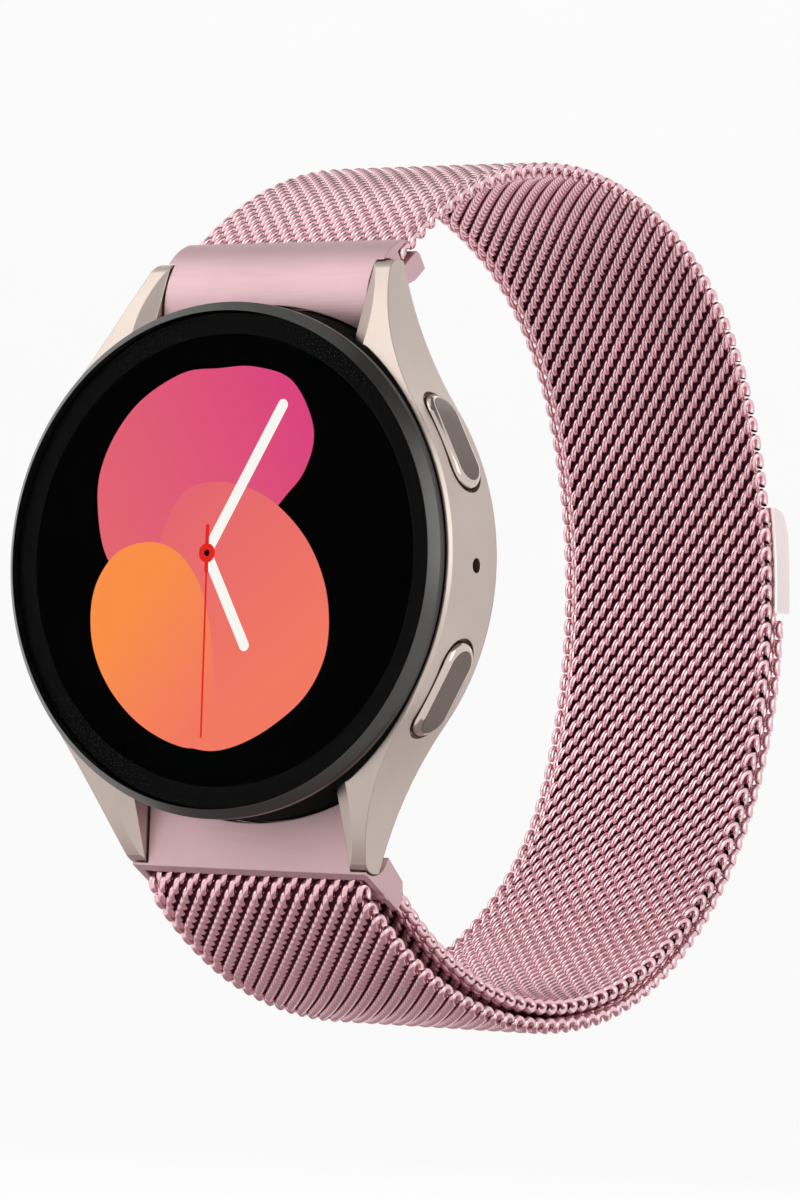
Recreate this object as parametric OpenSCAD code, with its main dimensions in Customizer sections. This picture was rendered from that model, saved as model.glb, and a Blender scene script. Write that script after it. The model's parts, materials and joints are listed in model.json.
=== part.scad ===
// Round smartwatch on a closed mesh loop band.
// The dial faces -Y, 12 o'clock is +Z and 3 o'clock is +X. The origin is the
// centre of the sensor window's outer face, which lies on the dial axis.
// Distances along the dial axis are Y values, so the front is negative.

/* [Case] */
// Radius of the round case body
case_r = 21.4; // [21.2:0.1:21.8]
// Y of the case's flat front face
front_y = -9.3; // [-9.6:0.1:-9.2]
// Y of the case's flat back face
back_y = -1.6; // [-1.8:0.1:-1.6]
// Clear distance between each pair of lugs
lug_gap = 20; // [20:0.1:20.2]
// Radius of the concave sweep from the body into each lug
flare_r = 34; // [32:1:36]
// Where on the body that sweep starts, in degrees from 3 o'clock
flare_angle = 36.5; // [35.5:0.5:37]
// Radius of the rounded lug tip
lug_tip_r = 2.2; // [2.1:0.1:2.3]

/* [Display] */
// Y of the cover glass's outer face
glass_y = -10.8; // [-11.2:0.1:-10.6]
// Radius of the cover glass
glass_r = 20.1; // [19.9:0.05:20.2]
// Outer radius of the bezel ring and of the black inner case
bezel_r = 20.9; // [20.7:0.1:20.9]
// Radius of the display panel
display_r = 18.6; // [17:0.1:18.8]

/* [Buttons] */
// Angle of each button above and below 3 o'clock, in degrees
button_angle = 28; // [26:1:30]
// Length of a button along the case
button_l = 8.5; // [7:0.1:9]
// Width of a button across the case
button_w = 3.9; // [3.6:0.1:4.2]
// How far a button stands out of the case
button_proud = 0.45; // [0.3:0.05:0.6]
// Travel of a button
button_travel = 0.35; // [0.2:0.05:0.4]

/* [Band] */
// Width of the mesh over its edge loops
mesh_w = 21.2; // [20.8:0.1:21.3]
// Thickness of the mesh
mesh_t = 1.5; // [1.4:0.05:1.6]
// Width of the lower loop piece across its two cheeks
loop_w = 22.8; // [22.6:0.1:23]
// Radius of the bar that the mesh folds around
loop_bar_r = 0.95; // [0.8:0.05:1]
// Thickness of the magnetic tab at the end of the mesh
tab_t = 2.65; // [2.5:0.05:2.8]
// Width of the magnetic tab
tab_w = 21.6; // [21.4:0.1:22]

/* [Hidden] */
$fn = 96;
big = 60;
nothing = 0.01;

// Stack of layers along the dial axis, from the glass to the sensor window
bezel_chamfer = 0.75;
glass_t = 0.9;
gasket_t = 0.1;
glass_back_y = glass_y + glass_t;
ledge_y = glass_back_y + gasket_t;
seat_y = ledge_y + 0.4;
ledge_r = 19.3;
step_y = -7.9;
inner_case_r = 19.7;
inner_case_wall = 0.8;
cavity_r = inner_case_r - inner_case_wall;
shoulder_y = -3;
fit_gap = 0.05;
cover_y = back_y - 0.8;
cover_r = 20.15;
inner_case_back_y = cover_y - gasket_t;
window_r = 10.4;
screw_ring_r = 17.2;
board_y = -8.2;
board_t = 0.7;
board_r = 18.3;
board_screw_hole_r = 1.3;
pack_y = -6.4;
pack_t = 3.1;

// Lugs and spring bars: the tip is rounded about tip_y, tip_z
tip_y = -3.1;
tip_z = 22.6;
bar_y = -2.95;
bar_r = 0.75;
bar_end = 9.3;
spring_room_r = 0.55;
pin_r = 0.4;
lug_hole_r = 0.45;
lug_hole_depth = 1.1;
front_edge = 0.25;
back_bevel = 0.9;
back_bevel_lead = 0.3;
lug_bevel_step = 0.05;
front_sweep_r = 28;
front_flat_z = 8.75;
piece_w = lug_gap - 0.3;
case_clear_r = bezel_r + 0.15;
crown_c = [0.6, 21];
crown_r = 5.9;

// Buttons
pocket_gap = 0.3;
pocket_floor_r = 20.25;
stem_r = 0.9;
stem_end_r = 17.75;
seal_seat_r = 19.2;
seal_r = 1.5;
mic_hole_r = 0.6;
button_y = (front_y + back_y) / 2;
key_board_r = 16.5;

// The band is one path in the Y-Z plane: [radius, sweep] turns right when
// positive and left when negative; a zero radius is a straight of that length.
band_start = [-0.2, 26, 39];
inner_arcs = [[42, 66], [30, 35], [41, 50], [25, 26], [38.5, 84.5], [0, 1.4]];
fold_r = 1.9;
fold_sweep = 183.5;
outer_first = [42, 22];
outer_second_sweep = 24;
tail_lower_sweep = 36;
tail_upper_sweep = 22;
band_socket = 1.5;
band_step = 3.5;
hinge_gap = 0.08;
nose_r = mesh_t / 2 - 0.02;
nose_steps = 24;

// The tab lies on the third inner arc. Its ends are angles about that arc's centre.
tab_arc_index = 2;
tab_clear = 0.2;
tab_from = 1.4;
tab_to = 14.6;
tab_nose = 4.2;
tab_cover_t = 0.5;

// ---------- helpers ----------

// A Y-Z outline, extruded to the given width along X
module across(width) {
    rotate([90, 0, 90]) linear_extrude(width, center = true) children();
}

// An X-Z outline, extruded from y0 to y1
module along_y(y0, y1) {
    translate([0, y1, 0]) rotate([90, 0, 0]) linear_extrude(y1 - y0) children();
}

// A disc about the dial axis
module disc(r, y0, y1) {
    along_y(y0, y1) circle(r);
}

// An outline of [radius, y] points, turned about the dial axis
module turned(points) {
    rotate([-90, 0, 0]) rotate_extrude() polygon(points);
}

// A rod along X at a Y-Z place
module rod(r, x0, x1, y, z) {
    translate([x0, y, z]) rotate([0, 90, 0]) cylinder(r = r, h = x1 - x0);
}

// Children drawn at 3 o'clock go to an angle above it
module at_angle(angle) {
    rotate([0, -angle, 0]) children();
}

// A block from one corner to the other
module block(low, high) {
    translate(low) cube(high - low);
}

function arc_points(c, r, a0, a1, steps) = [
    for (i = [0:steps]) let (a = a0 + (a1 - a0) * i / steps) c + r * [cos(a), sin(a)]
];

// ---------- band path ----------

// A pose is [y, z, heading]. This moves it along one piece of the path.
function advance(pose, arc) = arc[0] == 0
    ? [pose[0] + arc[1] * cos(pose[2]), pose[1] + arc[1] * sin(pose[2]), pose[2]]
    : let (turned_to = pose[2] - arc[1])
        [pose[0] + arc[0] * (sin(pose[2]) - sin(turned_to)),
         pose[1] + arc[0] * (cos(turned_to) - cos(pose[2])), turned_to];

function poses(pose, arcs, i = 0) = i == len(arcs)
    ? [pose]
    : concat([pose], poses(advance(pose, arcs[i]), arcs, i + 1));

function path_end(pose, arcs) = poses(pose, arcs)[len(arcs)];

function beside(pose, off) = [pose[0] - off * sin(pose[2]), pose[1] + off * cos(pose[2])];

// One side of a ribbon, at a signed distance from its centre line
function ribbon_side(start, arcs, off) = let (stops = poses(start, arcs)) concat(
    [for (i = [0:len(arcs) - 1])
        let (steps = arcs[i][0] == 0 ? 1 : ceil(abs(arcs[i][1]) / band_step))
        for (k = [0:steps - 1])
            beside(advance(stops[i], [arcs[i][0], arcs[i][1] * k / steps]), off)],
    [beside(stops[len(arcs)], off)]
);

function reversed(points) = [for (i = [len(points) - 1:-1:0]) points[i]];

module ribbon_outline(start, arcs) {
    polygon(concat(ribbon_side(start, arcs, mesh_t / 2), reversed(ribbon_side(start, arcs, -mesh_t / 2))));
}

// A ribbon whose near end is a round nose about its first pose
module nosed_ribbon_outline(start, arcs) {
    nose = arc_points([start[0], start[1]], nose_r, start[2] + 270, start[2] + 90, nose_steps);
    polygon(concat(
        ribbon_side(start, arcs, mesh_t / 2),
        reversed(ribbon_side(start, arcs, -mesh_t / 2)),
        nose
    ));
}

module hinge_circle(pose, r) {
    translate([pose[0], pose[1]]) circle(r, $fn = 48);
}

fold_start = path_end(band_start, inner_arcs);
fold_centre = beside(fold_start, fold_r);
fold_end = advance(fold_start, [-fold_r, -fold_sweep]);
socket_start = advance(band_start, [0, -band_socket]);

// The stretch of band that the tab rests on, as a centre and a radius
tab_pose = poses(band_start, inner_arcs)[tab_arc_index];
tab_band_r = inner_arcs[tab_arc_index][0];
tab_centre = beside(tab_pose, -tab_band_r);
tab_inner_r = tab_band_r + mesh_t / 2 + tab_clear;
tab_outer_r = tab_inner_r + tab_t;

// The outer layer: the first arc is given, and the radii of the second and third
// follow from having to end square on the tab, flush with its outer face.
function left_turn(heading, sweep) = [
    sin(heading + sweep) - sin(heading), cos(heading) - cos(heading + sweep)
];
tail_end = tab_centre + (tab_outer_r - 0.05 - mesh_t / 2) * [cos(tab_from), sin(tab_from)];
second_start = advance(fold_end, -outer_first);
third_heading = second_start[2] + outer_second_sweep;
third_sweep = tab_from + 90 - third_heading;
second_way = left_turn(second_start[2], outer_second_sweep);
third_way = left_turn(third_heading, third_sweep);
way_left = tail_end - [second_start[0], second_start[1]];
second_r = cross(way_left, third_way) / cross(second_way, third_way);
third_r = cross(second_way, way_left) / cross(second_way, third_way);
foldback_arcs = [
    [-fold_r, -fold_sweep], -outer_first, [-second_r, -outer_second_sweep],
    [-third_r, tail_lower_sweep + tail_upper_sweep - third_sweep]
];
tail_lower_arcs = [[-third_r, -tail_lower_sweep]];
tail_upper_arcs = [[-third_r, -tail_upper_sweep]];
hinge_one = path_end(fold_start, foldback_arcs);
hinge_two = path_end(hinge_one, tail_lower_arcs);

// ---------- case ----------

// Plan of the upper right lug, whose concave outer side runs on from the body
module lug_plan(inset = 0) {
    tangent = case_r * [cos(flare_angle), sin(flare_angle)];
    difference() {
        translate([lug_gap / 2, tangent[1]]) square([tangent[0] - lug_gap / 2, 13]);
        translate((case_r + flare_r) * [cos(flare_angle), sin(flare_angle)]) circle(flare_r + inset);
    }
}

// The lug steps in towards its back, where the body is bevelled
module lug_blank() {
    along_y(front_y, back_y - back_bevel) lug_plan();
    along_y(back_y - back_bevel - nothing, back_y - back_bevel_lead)
        lug_plan(back_bevel_lead + lug_bevel_step);
    along_y(back_y - back_bevel_lead - nothing, 0) lug_plan(back_bevel + lug_bevel_step);
}

// Upper half of the case seen from the side: swept front, round tip, flat back
sweep_c = [front_y + front_sweep_r, front_flat_z];
side_half = concat(
    arc_points(sweep_c, front_sweep_r, 180, 147, 32),
    arc_points([tip_y, tip_z], lug_tip_r, 140, -5, 28),
    [[back_y, 17.5]]
);

module side_profile(width) {
    across(width) polygon(concat(side_half, [for (p = reversed(side_half)) [p[0], -p[1]]]));
}

// The inner edge of each lug leans back from the front face
module lug_facet() {
    intersection() {
        translate([lug_gap / 2, -4.4, 24.6]) rotate([71.3, 0, -28.5])
            translate([-15, -15, 0]) cube([30, 30, 9]);
        block([lug_gap / 2 - nothing, -big, 0], [big, 0, big]);
    }
}

// Children drawn for the upper right lug go to all four lugs
module at_lugs() {
    for (sx = [0, 1], sz = [0, 1]) mirror([sx, 0, 0]) mirror([0, 0, sz]) children();
}

module case_round() {
    turned([
        [0, front_y], [case_r - front_edge, front_y], [case_r, front_y + front_edge],
        [case_r, back_y - back_bevel], [case_r - back_bevel_lead, back_y - back_bevel_lead],
        [case_r - back_bevel, back_y], [0, back_y]
    ]);
}

module pill(l, w, r0, r1) {
    translate([r0, button_y, 0]) rotate([90, 0, 90]) linear_extrude(r1 - r0) {
        square([w, l - w], center = true);
        for (s = [-1, 1]) translate([0, s * (l - w) / 2]) circle(w / 2);
    }
}

module stem_hole(r0, r1, r) {
    rod(r, r0, r1, button_y, 0);
}

module between_lugs(y0, y1) {
    for (s = [-1, 1]) block(
        [-lug_gap / 2, y0, min(s * 15, s * 28)], [lug_gap / 2, y1, max(s * 15, s * 28)]);
}

module case_frame() {
    color("tan") difference() {
        intersection() {
            union() {
                case_round();
                at_lugs() lug_blank();
            }
            side_profile(2 * case_r + 2);
        }
        at_lugs() lug_facet();
        disc(bezel_r + fit_gap, front_y - 1, step_y);
        disc(inner_case_r + fit_gap, front_y - 1, back_y + 1);
        disc(cover_r + fit_gap, cover_y, back_y + 1);
        between_lugs(front_y - 1, shoulder_y);
        difference() {
            between_lugs(shoulder_y - nothing, back_y + 1);
            disc(bezel_r, shoulder_y - 1, back_y + 2);
        }
        for (s = [-1, 1]) {
            rod(lug_hole_r, -lug_gap / 2 - lug_hole_depth, lug_gap / 2 + lug_hole_depth, bar_y, s * tip_z);
            at_angle(s * button_angle) {
                pill(button_l + 2 * pocket_gap, button_w + 2 * pocket_gap, pocket_floor_r, case_r + 2);
                stem_hole(inner_case_r - 1, pocket_floor_r + 1, stem_r + fit_gap);
            }
        }
        stem_hole(inner_case_r - 1, case_r + 1, mic_hole_r);
        speaker_slots(inner_case_r - 1, case_r + 1);
    }
}

module speaker_slots(r0, r1) {
    for (a = [-9, 0, 9]) at_angle(180 + a) pill(2.4, 0.8, r0, r1);
}

// Black inner case: fills the frame, and shows between the lugs
module inner_case() {
    color("black") difference() {
        union() {
            turned([
                [0, seat_y], [bezel_r, seat_y], [bezel_r, step_y - fit_gap],
                [inner_case_r, step_y - fit_gap], [inner_case_r, inner_case_back_y], [0, inner_case_back_y]
            ]);
            intersection() {
                disc(bezel_r - 0.02, step_y - 1, shoulder_y);
                between_shoulders();
            }
        }
        difference() {
            disc(cavity_r, seat_y - 1, back_y);
            for (a = [45:90:315]) at_angle(a) screw_boss();
        }
        for (a = [45:90:315]) at_angle(a) screw_shank(0.62, -6.6);
        antenna_groove();
        for (s = [-1, 1]) at_angle(s * button_angle) {
            stem_hole(cavity_r - 1, inner_case_r + 1, stem_r + fit_gap);
            stem_hole(seal_seat_r, inner_case_r + 1, seal_r);
        }
        stem_hole(cavity_r - 1, inner_case_r + 1, mic_hole_r);
        speaker_slots(cavity_r - 1, inner_case_r + 1);
    }
}

module between_shoulders() {
    for (s = [-1, 1]) block(
        [-lug_gap / 2 + fit_gap, step_y - 2, min(s * 15, s * 28)],
        [lug_gap / 2 - fit_gap, shoulder_y - fit_gap, max(s * 15, s * 28)]);
}

module screw_boss() {
    translate([screw_ring_r, -7, 0]) rotate([-90, 0, 0]) cylinder(r = 1.9, h = 7);
}

module screw_shank(r, y0) {
    translate([screw_ring_r, y0, 0]) rotate([-90, 0, 0]) cylinder(r = r, h = back_y - 0.35 - y0);
}

module antenna_groove() {
    difference() {
        disc(20.2, seat_y - 1, seat_y + 0.4);
        disc(19.4, seat_y - 2, seat_y + 1);
    }
}

module antenna_ring() {
    color("goldenrod") difference() {
        disc(20.15, seat_y + fit_gap, seat_y + 0.4);
        disc(19.45, seat_y - 1, seat_y + 1);
    }
}

module bezel_ring() {
    color("dimgray") turned([
        [glass_r + 0.03, glass_y], [bezel_r - bezel_chamfer, glass_y], [bezel_r, glass_y + bezel_chamfer],
        [bezel_r, seat_y], [ledge_r, seat_y], [ledge_r, ledge_y], [glass_r + 0.03, ledge_y]
    ]);
}

module cover_glass() {
    color("black", 0.6) turned([
        [0, glass_y], [19.3, glass_y], [glass_r, glass_y + 0.2],
        [glass_r, glass_back_y], [0, glass_back_y]
    ]);
}

module glass_gasket() {
    color("black") difference() {
        disc(glass_r, glass_back_y, ledge_y);
        disc(ledge_r, glass_back_y - 1, ledge_y + 1);
    }
}

module display_panel() {
    color("black") disc(display_r, glass_back_y, glass_back_y + 0.7);
}

// Metal plate that carries the boards and the battery
module chassis() {
    color("silver") difference() {
        disc(18.8, -9.1, -8.6);
        for (a = [0:60:300]) rotate([0, a, 0]) translate([11, 0, 0]) disc(3.2, -10, -8);
    }
}

module main_board() {
    color("darkgreen") difference() {
        disc(board_r, board_y, board_y + board_t);
        block([-4, board_y - 1, 14], [4, board_y + 2, 20]);
        for (a = [45:90:315]) at_angle(a) translate([screw_ring_r, 0, 0])
            disc(board_screw_hole_r, board_y - 1, board_y + 2);
    }
}

module board_shields() {
    y0 = board_y + board_t;
    color("silver") {
        block([-11, y0, -8], [-1, y0 + 1, 6]);
        block([1, y0, -2], [11, y0 + 1, 8]);
        block([2, y0, -10], [9, y0 + 0.8, -4]);
    }
}

module battery() {
    side = 20;
    corner = 3;
    color("lightgray") along_y(pack_y, pack_y + pack_t) translate([-0.5, 0]) {
        square([side, side - 2 * corner], center = true);
        square([side - 2 * corner, side], center = true);
        for (sx = [-1, 1], sz = [-1, 1]) translate([sx, sz] * (side / 2 - corner)) circle(corner);
    }
}

module vibration_motor() {
    color("silver") {
        rod(1.5, -4.5, 4.5, pack_y + 1.6, -14.3);
        block([-5, pack_y + 0.6, -15], [-4.4, pack_y + 2.6, -13.6]);
    }
}

module speaker() {
    color("black") difference() {
        block([-17.5, pack_y + 0.1, -5], [-13.4, pack_y + 3, 5]);
        block([-18, pack_y + 0.6, -4], [-17, pack_y + 1.4, 4]);
    }
}

module microphone() {
    color("gold") difference() {
        block([key_board_r + 0.2, button_y - 1.2, -1.6], [cavity_r - 0.3, button_y + 1.2, 1.6]);
        stem_hole(cavity_r - 1.2, cavity_r + 1, mic_hole_r / 2);
    }
}

module side_key_board() {
    color("orange") difference() {
        intersection() {
            disc(key_board_r + 0.2, button_y - 1.6, button_y + 1.6);
            along_y(button_y - 2, button_y + 2) polygon([
                [0, 0], [30, -30 * tan(38)], [30, 30 * tan(38)]
            ]);
        }
        disc(key_board_r - 0.2, button_y - 3, button_y + 3);
    }
}

module key_switches() {
    color("silver") for (s = [-1, 1]) at_angle(s * button_angle) {
        block([key_board_r + 0.2, button_y - 1.4, -1.5], [17.2, button_y + 1.4, 1.5]);
        rod(0.8, 17.2, 17.38, button_y, 0);
    }
}

module button() {
    color("rosybrown") intersection() {
        union() {
            pill(button_l, button_w, pocket_floor_r + button_travel + 0.1, case_r + 2);
            stem_hole(stem_end_r, pocket_floor_r + 1, stem_r);
        }
        disc(case_r + button_proud, front_y, back_y);
    }
}

module upper_button() {
    at_angle(button_angle) button();
}

module lower_button() {
    at_angle(-button_angle) button();
}

// Clip in the stem's groove that keeps the button in the case
module button_clip() {
    color("silver") difference() {
        rod(1.35, 18.3, 18.6, button_y, 0);
        stem_hole(18, 19, stem_r);
    }
}

module upper_button_clip() {
    at_angle(button_angle) button_clip();
}

module lower_button_clip() {
    at_angle(-button_angle) button_clip();
}

module button_seals() {
    color("dimgray") for (s = [-1, 1]) at_angle(s * button_angle) difference() {
        rod(seal_r - 0.03, seal_seat_r, inner_case_r - 0.06, button_y, 0);
        stem_hole(seal_seat_r - 1, inner_case_r + 1, stem_r + fit_gap);
    }
}

// ---------- back of the case ----------

module rear_cover() {
    color("black") difference() {
        turned([
            [window_r + fit_gap, -1.2], [window_r + fit_gap, -0.3], [12.2, -0.4], [13, -0.7],
            [14.6, back_y], [cover_r, back_y], [cover_r, cover_y], [11.9, cover_y], [11.6, -1.5],
            [9.9, -1.5], [9.9, -1.2]
        ]);
        for (a = [45:90:315]) at_angle(a) {
            screw_shank(0.66, cover_y - 1);
            screw_head(1.15, 1);
        }
    }
}

module screw_head(r, h) {
    translate([screw_ring_r, back_y - 0.35, 0]) rotate([-90, 0, 0]) cylinder(r = r, h = h);
}

module case_screws() {
    color("silver") for (a = [45:90:315]) at_angle(a) difference() {
        union() {
            screw_shank(0.6, -6.2);
            screw_head(1.1, 0.33);
        }
        translate([screw_ring_r, back_y - 0.22, 0]) rotate([-90, 0, 0]) cylinder(r = 0.5, h = 1, $fn = 6);
    }
}

module rear_gasket() {
    color("dimgray") difference() {
        disc(inner_case_r - fit_gap, inner_case_back_y, cover_y);
        disc(cavity_r + 0.1, -4, 0);
        for (a = [45:90:315]) at_angle(a) translate([screw_ring_r, 0, 0]) disc(1.2, -4, 0);
    }
}

module sensor_window() {
    color("black", 0.7) turned([
        [0, -1.2], [window_r, -1.2], [window_r, -0.3], [9.6, -0.06], [9.1, 0], [0, 0]
    ]);
}

module sensor_board() {
    color("darkgreen") {
        disc(9.5, -2.3, -1.9);
        disc(1.6, -1.95, -1.45);
        for (a = [0:45:315]) rotate([0, a, 0]) block([5, -1.95, -0.9], [7, -1.45, 0.9]);
    }
}

module charging_coil() {
    color("chocolate") difference() {
        disc(14.8, -2.95, -2.5);
        disc(10, -4, -2);
    }
}

// ---------- spring bars ----------

module spring_bar(z) {
    color("silver") {
        difference() {
            rod(bar_r, -bar_end, bar_end, bar_y, z);
            rod(spring_room_r, -4, bar_end - 0.25, bar_y, z);
            rod(lug_hole_r, 0, big, bar_y, z);
            block([3.2, bar_y, z - 0.4], [6, bar_y + 2, z + 0.4]);
        }
        rod(pin_r, -lug_gap / 2 - 0.9, -bar_end + 0.1, bar_y, z);
    }
}

// Sliding end pin with the small lever that pulls it out of the lug
module release_pin(z) {
    color("gray") {
        rod(spring_room_r - fit_gap, 1, bar_end - 0.35, bar_y, z);
        rod(pin_r, bar_end - 0.4, lug_gap / 2 + 0.9, bar_y, z);
        translate([5.5, bar_y, z]) rotate([-90, 0, 0]) cylinder(r = 0.35, h = 2.3);
        translate([5.5, bar_y + 1.9, z]) rotate([-90, 0, 0]) cylinder(r = 0.6, h = 0.5);
    }
}

module bar_spring(z) {
    color("silver") rod(spring_room_r - fit_gap, -3.95, -0.7, bar_y, z);
}

module upper_spring_bar() {
    spring_bar(tip_z);
}

module lower_spring_bar() {
    spring_bar(-tip_z);
}

module upper_release_pin() {
    release_pin(tip_z);
}

module lower_release_pin() {
    release_pin(-tip_z);
}

module upper_bar_spring() {
    bar_spring(tip_z);
}

module lower_bar_spring() {
    bar_spring(-tip_z);
}

// Bore for the bar and the slot that its lever slides in
module bar_room(z) {
    rod(bar_r + 0.03, -big, big, bar_y, z);
    block([3, bar_y, z - 0.7], [6.3, bar_y + 6, z + 0.7]);
}

// ---------- end pieces ----------

// Upper end piece: crowned front face, band socket on top, barrel below
module upper_outline() {
    polygon(concat(
        arc_points(crown_c, crown_r, 201, 105, 32),
        [[1.5, 25.8], [2.4, 24.7], [1, 23.6], [-0.7, 22.9], [bar_y + 1.35, tip_z - 0.4], [-1.9, 18.9]]
    ));
}

module upper_end_piece() {
    color("pink") difference() {
        union() {
            across(piece_w) upper_outline();
            across(mesh_w - 0.2) difference() {
                upper_outline();
                translate([-big, -big]) square([2 * big, big + tip_z]);
                translate([tip_y, tip_z]) circle(lug_tip_r + 0.12);
            }
        }
        disc(case_clear_r, -20, 20);
        across(big) ribbon_outline(socket_start, [[0, band_socket], inner_arcs[0]]);
        bar_room(tip_z);
    }
}

// Lower loop piece: plate between the lugs, and two cheeks with the fold bar
module loop_plate_outline() {
    difference() {
        polygon([
            [-4.2, -18.4], [-4.2, -24.85], [-3.25, -25.45], [-1.4, -24.4], [-1.4, -21.6], [-2, -18.4]
        ]);
        translate(fold_centre) circle(fold_r + mesh_t / 2 + 0.3);
    }
}

module cheek_outline() {
    difference() {
        polygon([
            [-4.2, -22], [-4.2, -24.85], [0.77, -27.63], [1.47, -26.8], [1.35, -25.3], [-0.95, -23.4]
        ]);
        translate([tip_y, -tip_z]) circle(lug_tip_r + 0.12);
    }
}

module lower_loop_piece() {
    slot_w = mesh_w + 0.3;
    color("pink") {
        difference() {
            across(piece_w) loop_plate_outline();
            disc(case_clear_r, -20, 20);
            bar_room(-tip_z);
        }
        difference() {
            across(loop_w) cheek_outline();
            across(slot_w) translate(fold_centre) circle(fold_r + mesh_t / 2 + 0.3);
            across(slot_w) translate([fold_centre[0], -big]) square([big, 2 * big]);
        }
        across(loop_w) translate(fold_centre) circle(loop_bar_r);
    }
}

// ---------- mesh band ----------

module band_mesh() {
    color("palevioletred") across(mesh_w)
        ribbon_outline(socket_start, concat([[0, band_socket]], inner_arcs));
}

// From the fold to the first row that lifts, with a round seat for that row
// and its edges cut back around the lug tips
module foldback_mesh() {
    color("palevioletred") difference() {
        across(mesh_w) difference() {
            ribbon_outline(fold_start, foldback_arcs);
            hinge_circle(hinge_one, mesh_t / 2 + hinge_gap);
        }
        for (side = [0, 1]) mirror([side, 0, 0])
            rod(lug_tip_r + 0.15, lug_gap / 2 - 0.1, big, tip_y, -tip_z);
    }
}

module tail_mesh_lower() {
    color("palevioletred") across(mesh_w) difference() {
        nosed_ribbon_outline(hinge_one, tail_lower_arcs);
        hinge_circle(hinge_two, mesh_t / 2 + hinge_gap);
    }
}

module tail_mesh_upper() {
    color("palevioletred") across(mesh_w) nosed_ribbon_outline(hinge_two, tail_upper_arcs);
}

// ---------- magnetic tab ----------

// Tab outline: follows the band below it, with a rounded nose at the top
module tab_outline(inset = 0) {
    a0 = tab_from + inset / tab_inner_r * 57.3;
    a1 = tab_to - inset / tab_inner_r * 57.3;
    r0 = tab_inner_r + inset;
    thickness = tab_t - 2 * inset;
    lip = 0.35;
    steps = 24;
    polygon(concat(
        arc_points(tab_centre, r0, a0, a1, steps),
        [for (i = [steps:-1:0])
            let (a = a0 + (a1 - a0) * i / steps)
            let (into_nose = max(0, a - (a1 - tab_nose)) / tab_nose)
            tab_centre + (r0 + lip + (thickness - lip) * sqrt(1 - pow(into_nose, 2))) * [cos(a), sin(a)]]
    ));
}

module tab_cavity() {
    across(tab_w - 1.4) tab_outline(tab_cover_t);
}

// Everything within the wrist side cover's outer radius
module tab_cover_reach() {
    across(big) translate(tab_centre) circle(tab_inner_r + tab_cover_t, $fn = 720);
}

module tab_shell() {
    color("lightpink") difference() {
        across(tab_w) tab_outline();
        tab_cavity();
        tab_cover_reach();
    }
}

// Thin cover on the wrist side, over the magnets
module tab_cover() {
    color("lightpink") intersection() {
        across(tab_w) tab_outline();
        tab_cover_reach();
    }
}

module tab_magnets() {
    spacing = (tab_w - 2) / 3;
    color("gray") for (i = [-1:1]) translate([i * spacing, 0, 0]) across(spacing - 0.4)
        translate(tab_centre) rotate((tab_from + tab_to) / 2 - 1)
            translate([tab_inner_r + tab_cover_t + 0.1, -2.6]) square([1.2, 5.2]);
}

case_frame();
inner_case();
bezel_ring();
cover_glass();
glass_gasket();
display_panel();
antenna_ring();
chassis();
main_board();
board_shields();
battery();
vibration_motor();
speaker();
microphone();
side_key_board();
key_switches();
upper_button();
lower_button();
upper_button_clip();
lower_button_clip();
button_seals();
rear_cover();
rear_gasket();
sensor_window();
sensor_board();
charging_coil();
case_screws();
upper_end_piece();
lower_loop_piece();
upper_spring_bar();
lower_spring_bar();
upper_release_pin();
lower_release_pin();
upper_bar_spring();
lower_bar_spring();
band_mesh();
foldback_mesh();
tail_mesh_lower();
tail_mesh_upper();
tab_shell();
tab_cover();
tab_magnets();
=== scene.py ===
"""Round smartwatch on a magnetic mesh loop band, lit in a pale studio."""

import json
import math

import bmesh
import bpy
import numpy as np
from mathutils import Matrix, Vector


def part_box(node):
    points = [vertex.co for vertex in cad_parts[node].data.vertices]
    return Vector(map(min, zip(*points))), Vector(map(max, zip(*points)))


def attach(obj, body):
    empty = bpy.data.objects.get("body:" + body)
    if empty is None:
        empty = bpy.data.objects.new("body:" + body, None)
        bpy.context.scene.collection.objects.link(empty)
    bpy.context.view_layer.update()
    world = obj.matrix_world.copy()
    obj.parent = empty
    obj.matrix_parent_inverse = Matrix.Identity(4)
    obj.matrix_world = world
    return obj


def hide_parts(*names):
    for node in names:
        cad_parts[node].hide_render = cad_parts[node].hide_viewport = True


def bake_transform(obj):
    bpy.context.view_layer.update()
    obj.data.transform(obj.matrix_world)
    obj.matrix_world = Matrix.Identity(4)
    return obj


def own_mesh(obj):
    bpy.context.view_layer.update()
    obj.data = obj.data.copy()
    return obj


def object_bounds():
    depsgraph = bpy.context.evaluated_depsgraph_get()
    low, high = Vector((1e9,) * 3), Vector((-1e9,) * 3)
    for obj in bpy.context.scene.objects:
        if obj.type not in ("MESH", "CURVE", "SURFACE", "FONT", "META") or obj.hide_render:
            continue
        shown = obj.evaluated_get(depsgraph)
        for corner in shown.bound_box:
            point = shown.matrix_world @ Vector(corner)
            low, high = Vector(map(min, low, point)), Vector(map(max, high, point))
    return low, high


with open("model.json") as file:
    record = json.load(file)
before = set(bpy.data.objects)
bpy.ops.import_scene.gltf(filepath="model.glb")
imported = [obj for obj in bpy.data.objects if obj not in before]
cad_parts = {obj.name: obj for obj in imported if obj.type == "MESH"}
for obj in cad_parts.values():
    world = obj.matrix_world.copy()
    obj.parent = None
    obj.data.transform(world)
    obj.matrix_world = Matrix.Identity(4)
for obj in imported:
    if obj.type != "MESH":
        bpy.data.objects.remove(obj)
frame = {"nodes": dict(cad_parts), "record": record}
nodes = frame["nodes"]
joints = {joint["name"]: joint for joint in frame["record"]["behaviour"]["joints"]}

MM = 0.001
TURN = 2 * math.pi

loaded_low, loaded_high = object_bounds()

# ---------- sizes read from the frame ----------

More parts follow.
